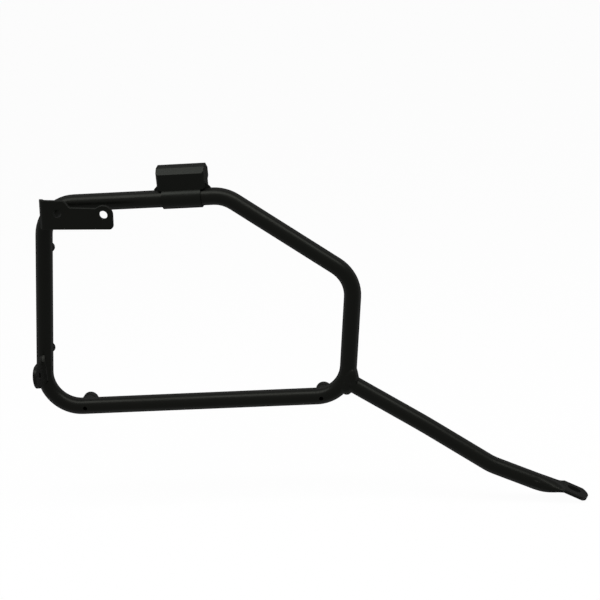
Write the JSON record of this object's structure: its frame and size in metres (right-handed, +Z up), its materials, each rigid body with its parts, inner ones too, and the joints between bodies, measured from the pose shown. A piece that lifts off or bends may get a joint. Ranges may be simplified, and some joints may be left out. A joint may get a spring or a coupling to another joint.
{
  "type": "pannier frame",
  "caption": "Side frame of bent round tube that carries a hard case on a motorbike, with a folded bolt bracket, a flat-ended front arm, case pegs, rubber buffers and a clamped latch block.",
  "frame": {"origin": "midway between the two holes of the rear bracket, on the bracket face that meets the machine", "axes": "+X forward along the machine, +Y outward to the case, +Z up, with the bottom tube along X"},
  "size_m": [0.5814, 0.0691, 0.3821],
  "materials": {
    "powder_coat": "satin black powder coat",
    "latch_plastic": "fine-grained matte",
    "buffer_rubber": "matte",
    "screw_steel": "blackened"
  },
  "bodies": {
    "root": {"loop_tube": "powder_coat", "front_arm": "powder_coat", "rear_bracket": "powder_coat", "cross_brace_tab": "powder_coat", "rear_peg": "powder_coat", "front_peg": "powder_coat", "latch_block": "latch_plastic", "latch_clamp": "latch_plastic", "latch_screws": "screw_steel", "upper_rear_buffer": "buffer_rubber", "lower_rear_buffer": "buffer_rubber", "slope_buffer": "buffer_rubber", "front_buffer": "buffer_rubber"}
  },
  "joints": []
}
